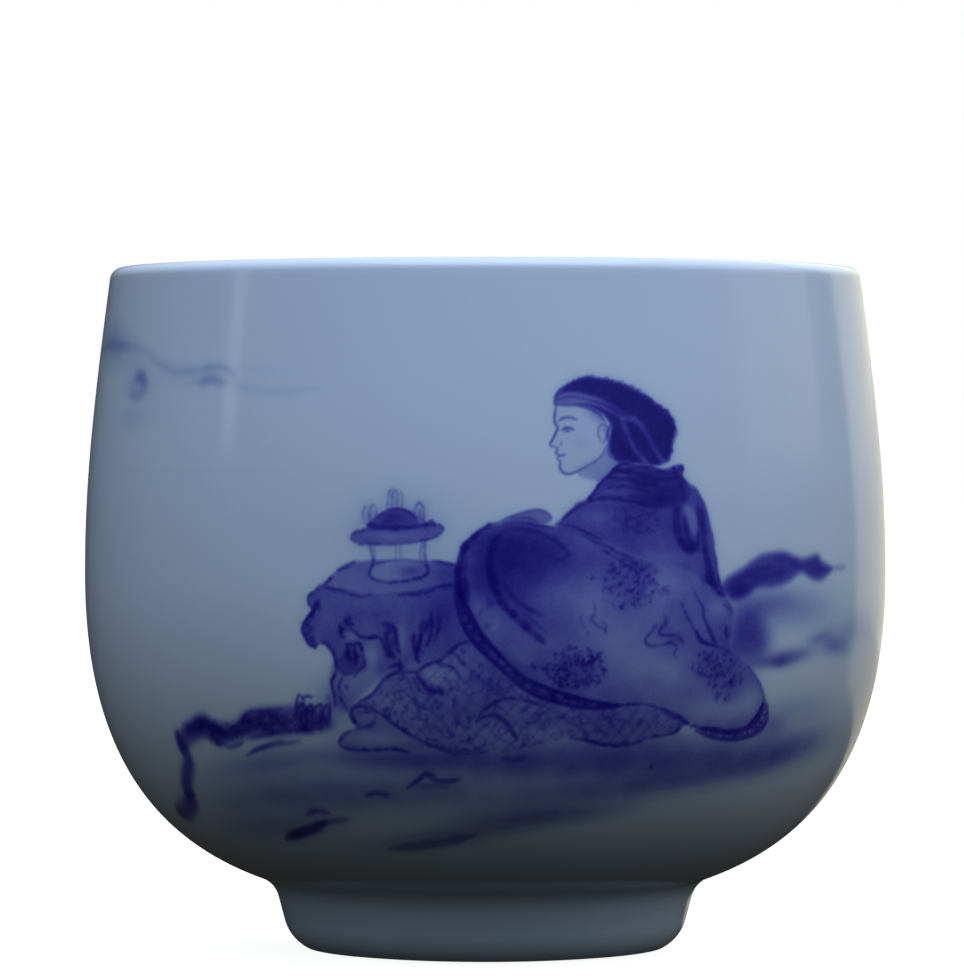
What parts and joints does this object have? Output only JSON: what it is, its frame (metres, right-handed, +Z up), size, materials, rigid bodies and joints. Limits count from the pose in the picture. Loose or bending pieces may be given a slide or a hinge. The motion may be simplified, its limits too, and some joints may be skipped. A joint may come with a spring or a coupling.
{
  "type": "teacup",
  "caption": "Deep round-bellied porcelain teacup on a low turned foot, clear glazed over a hand-painted blue scene, with a bare resting edge.",
  "frame": {"origin": "centre of the flat resting edge under the foot", "axes": "+Z up along the cup's axis of turning; -Y is the painted front"},
  "size_m": [0.08, 0.08, 0.068],
  "materials": {
    "porcelain_body": "unglazed fired porcelain, fine and matte",
    "painted_glaze": "glossy clear glaze over cobalt-blue brush painting on blue-white porcelain",
    "clear_glaze": "glossy clear glaze over blue-white porcelain"
  },
  "bodies": {
    "root": {"bowl": "porcelain_body", "foot_ring": "porcelain_body", "outer_glaze": "painted_glaze", "liner_glaze": "clear_glaze", "foot_glaze": "clear_glaze", "well_glaze": "clear_glaze"}
  },
  "joints": []
}
